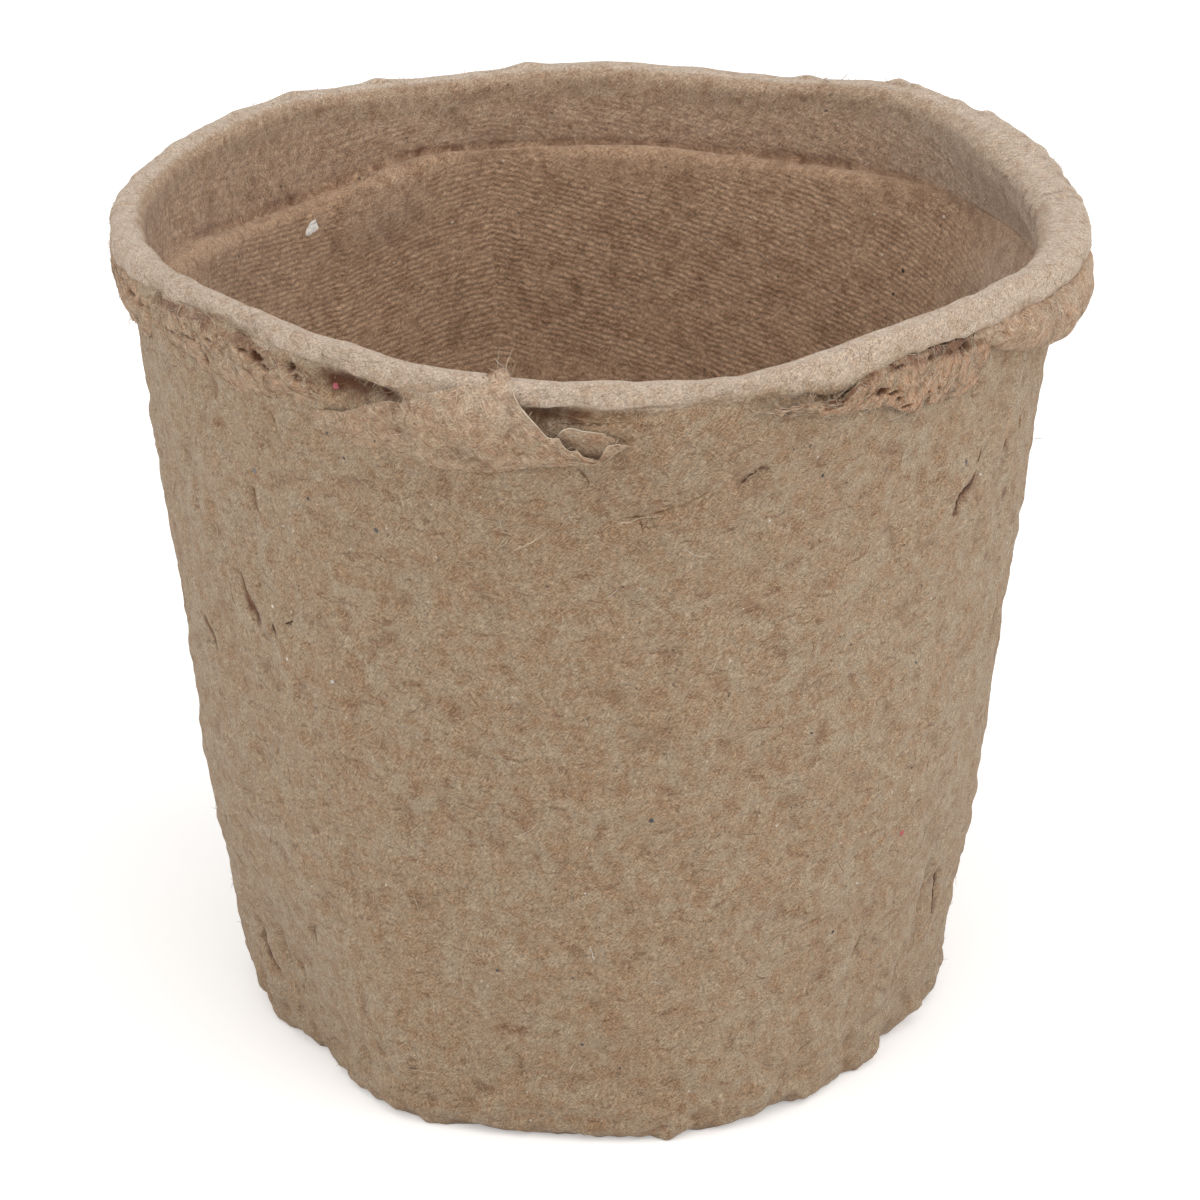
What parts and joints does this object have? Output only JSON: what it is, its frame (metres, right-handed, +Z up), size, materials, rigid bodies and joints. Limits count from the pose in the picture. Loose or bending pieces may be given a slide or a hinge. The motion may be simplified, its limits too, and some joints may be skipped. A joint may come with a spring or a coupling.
{
  "type": "peat pot",
  "caption": "Round tapered plant pot of rough moulded fibre pulp, with a rounded lip, a ledge inside the rim and torn plies of pulp left under the lip.",
  "frame": {"origin": "middle of the flat base, on the ground under the pot's axis", "axes": "+Z up along the pot's axis, -Y towards the front with the torn flap, +X to the right seen from the front"},
  "size_m": [0.0812, 0.0806, 0.07],
  "materials": {
    "moulded_pulp": "matte",
    "pressed_pulp_lip": "matte",
    "torn_pulp": "matte"
  },
  "bodies": {
    "root": {"pot_base": "moulded_pulp", "pot_wall": "moulded_pulp", "rim_collar": "moulded_pulp", "rim_lip": "pressed_pulp_lip", "front_flap": "torn_pulp", "left_skirt": "torn_pulp", "left_scab": "torn_pulp", "right_fold": "torn_pulp", "right_roll": "torn_pulp"}
  },
  "joints": []
}
